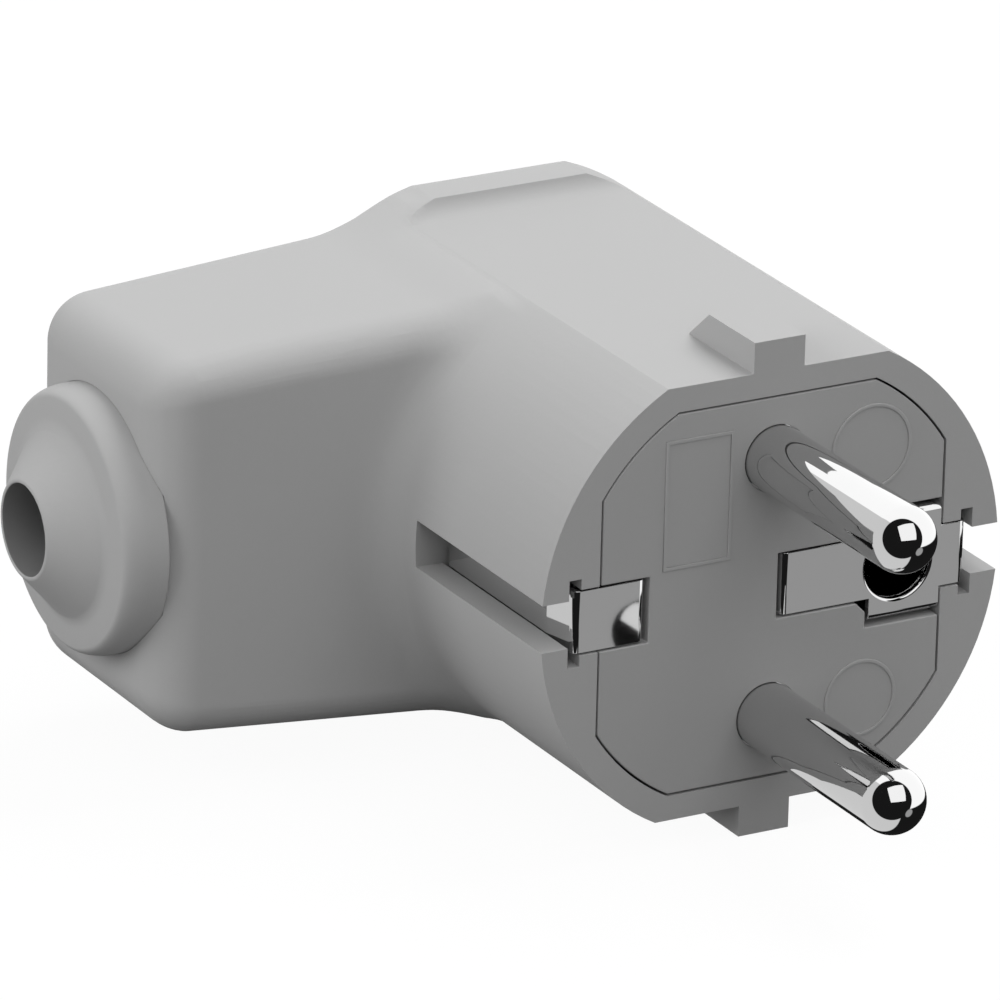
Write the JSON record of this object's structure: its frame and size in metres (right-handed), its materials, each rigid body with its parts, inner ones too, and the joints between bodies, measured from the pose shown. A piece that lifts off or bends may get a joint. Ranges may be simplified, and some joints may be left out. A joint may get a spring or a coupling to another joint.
{
  "type": "angled mains plug",
  "caption": "Rewirable angled mains plug with round line pins, side earth contacts, an earth socket hole and a cable bushing at right angles to the pins.",
  "frame": {"origin": "centre of the front face, midway between the two line pins", "axes": "-Y along the pins out of the front face, -X towards the cable end of the neck, +Z from the centre to the live pin and one guide rib"},
  "size_m": [0.0595, 0.0612, 0.0364],
  "materials": {
    "housing": "fine satin grey",
    "carrier": "fine satin grey",
    "bushing": "satin grey, slightly soft",
    "clamp_bar": "moulded grey",
    "pin": "bright nickel plate",
    "strap": "bright nickel plate on strip",
    "sleeve": "bright nickel plate",
    "screw": "zinc plated",
    "leaf": "bronze strip",
    "insert": "turned brass"
  },
  "bodies": {
    "root": {"cable_bushing": "bushing", "clamp_screw_lower": "screw", "clamp_screw_upper": "screw", "contact_carrier": "carrier", "cord_clamp_bar": "clamp_bar", "earth_clamp_plate": "strap", "earth_nut": "screw", "earth_sleeve": "sleeve", "earth_strap": "strap", "earth_terminal_screw": "screw", "fixing_screw": "screw", "fixing_washer": "screw", "housing": "housing", "live_pin": "pin", "live_terminal_screw": "screw", "live_wire_leaf": "leaf", "neutral_pin": "pin", "neutral_terminal_screw": "screw", "neutral_wire_leaf": "leaf", "threaded_insert": "insert"}
  },
  "joints": []
}
